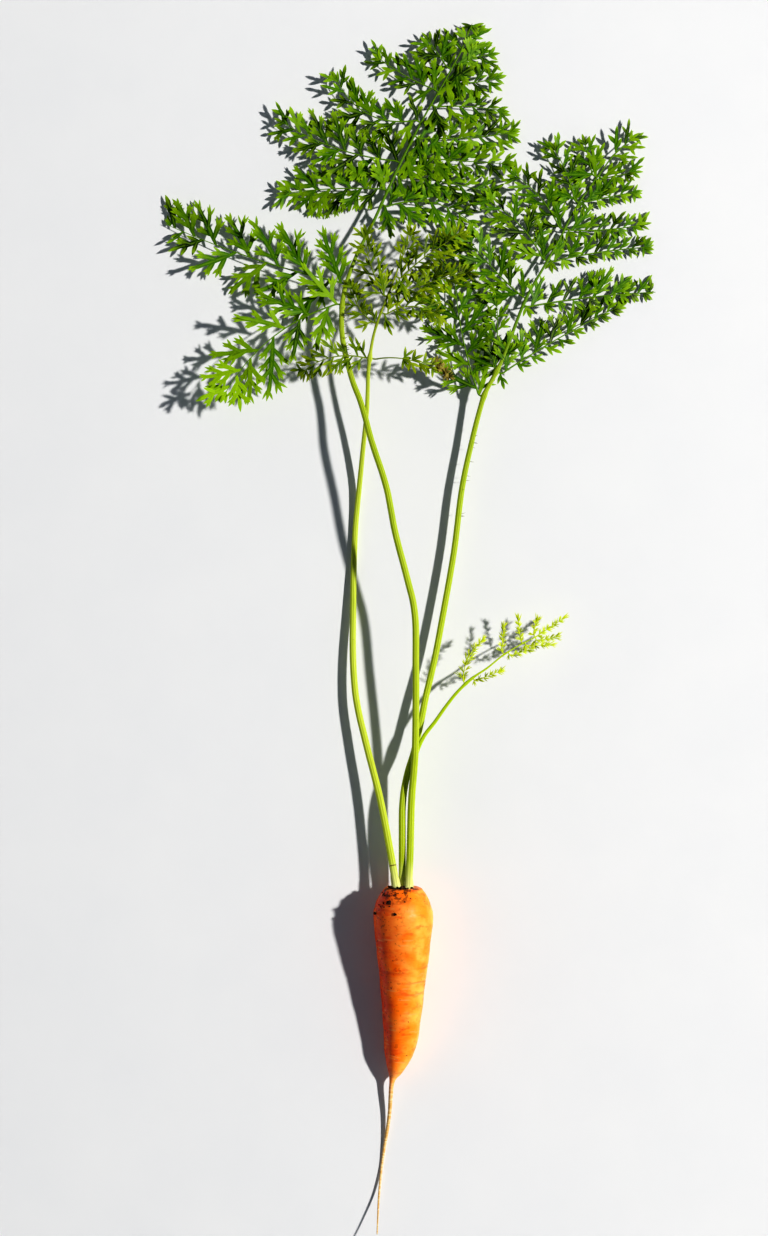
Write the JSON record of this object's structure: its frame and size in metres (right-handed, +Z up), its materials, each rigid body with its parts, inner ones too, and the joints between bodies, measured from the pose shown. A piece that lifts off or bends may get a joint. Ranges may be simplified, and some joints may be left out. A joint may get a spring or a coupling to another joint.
{
  "type": "carrot",
  "caption": "Young garden carrot with its leaves on, lying flat: tapered orange root with a thread-like tail, long thin stalks and feathery green fronds.",
  "frame": {"origin": "on the surface that the carrot lies on, under the middle of the whole plant's box", "axes": "+Z up off the resting surface, +Y along the plant from the root's tail towards the leaf tips, +X to the right as seen from above with the leaves away from the viewer"},
  "size_m": [0.2066, 0.507, 0.0257],
  "materials": {
    "root_skin": "satin",
    "soil": "matte",
    "withered_leaf": "matte",
    "old_stalk": "satin",
    "green_stalk": "satin",
    "old_leaf_blade": "satin",
    "young_leaf_blade": "satin",
    "leaf_blade": "satin"
  },
  "bodies": {
    "root": {"crown_soil": "soil", "old_leaf_pinna_left_1": "old_leaf_blade", "old_leaf_pinna_left_2": "old_leaf_blade", "old_leaf_pinna_left_3": "old_leaf_blade", "old_leaf_pinna_right_1": "old_leaf_blade", "old_leaf_pinna_right_2": "old_leaf_blade", "old_leaf_pinna_right_3": "old_leaf_blade", "old_leaf_pinna_right_4": "old_leaf_blade", "old_leaf_pinna_tip": "old_leaf_blade", "old_leaf_stalk": "old_stalk", "old_leaf_withered": "withered_leaf", "right_leaf_pinna_left_1": "leaf_blade", "right_leaf_pinna_left_2": "leaf_blade", "right_leaf_pinna_left_3": "leaf_blade", "right_leaf_pinna_left_4": "leaf_blade", "right_leaf_pinna_left_5": "leaf_blade", "right_leaf_pinna_left_6": "leaf_blade", "right_leaf_pinna_left_7": "leaf_blade", "right_leaf_pinna_right_1": "leaf_blade", "right_leaf_pinna_right_2": "leaf_blade", "right_leaf_pinna_right_3": "leaf_blade", "right_leaf_pinna_right_4": "leaf_blade", "right_leaf_pinna_right_5": "leaf_blade", "right_leaf_pinna_right_6": "leaf_blade", "right_leaf_pinna_tip": "leaf_blade", "right_leaf_stalk": "green_stalk", "soil_crumb_1": "soil", "soil_crumb_2": "soil", "soil_crumb_3": "soil", "tall_leaf_pinna_left_1": "leaf_blade", "tall_leaf_pinna_left_2": "leaf_blade", "tall_leaf_pinna_left_3": "leaf_blade", "tall_leaf_pinna_left_4": "leaf_blade", "tall_leaf_pinna_left_5": "leaf_blade", "tall_leaf_pinna_left_6": "leaf_blade", "tall_leaf_pinna_left_7": "leaf_blade", "tall_leaf_pinna_right_1": "leaf_blade", "tall_leaf_pinna_right_2": "leaf_blade", "tall_leaf_pinna_right_3": "leaf_blade", "tall_leaf_pinna_right_4": "leaf_blade", "tall_leaf_pinna_right_5": "leaf_blade", "tall_leaf_pinna_right_6": "leaf_blade", "tall_leaf_pinna_right_7": "leaf_blade", "tall_leaf_pinna_tip": "leaf_blade", "tall_leaf_stalk": "green_stalk", "taproot": "root_skin", "young_leaf_pinna_left_1": "young_leaf_blade", "young_leaf_pinna_left_2": "young_leaf_blade", "young_leaf_pinna_left_3": "young_leaf_blade", "young_leaf_pinna_left_4": "young_leaf_blade", "young_leaf_pinna_right_1": "young_leaf_blade", "young_leaf_pinna_right_2": "young_leaf_blade", "young_leaf_pinna_right_3": "young_leaf_blade", "young_leaf_pinna_right_4": "young_leaf_blade", "young_leaf_pinna_tip": "young_leaf_blade", "young_leaf_stalk": "green_stalk"}
  },
  "joints": []
}
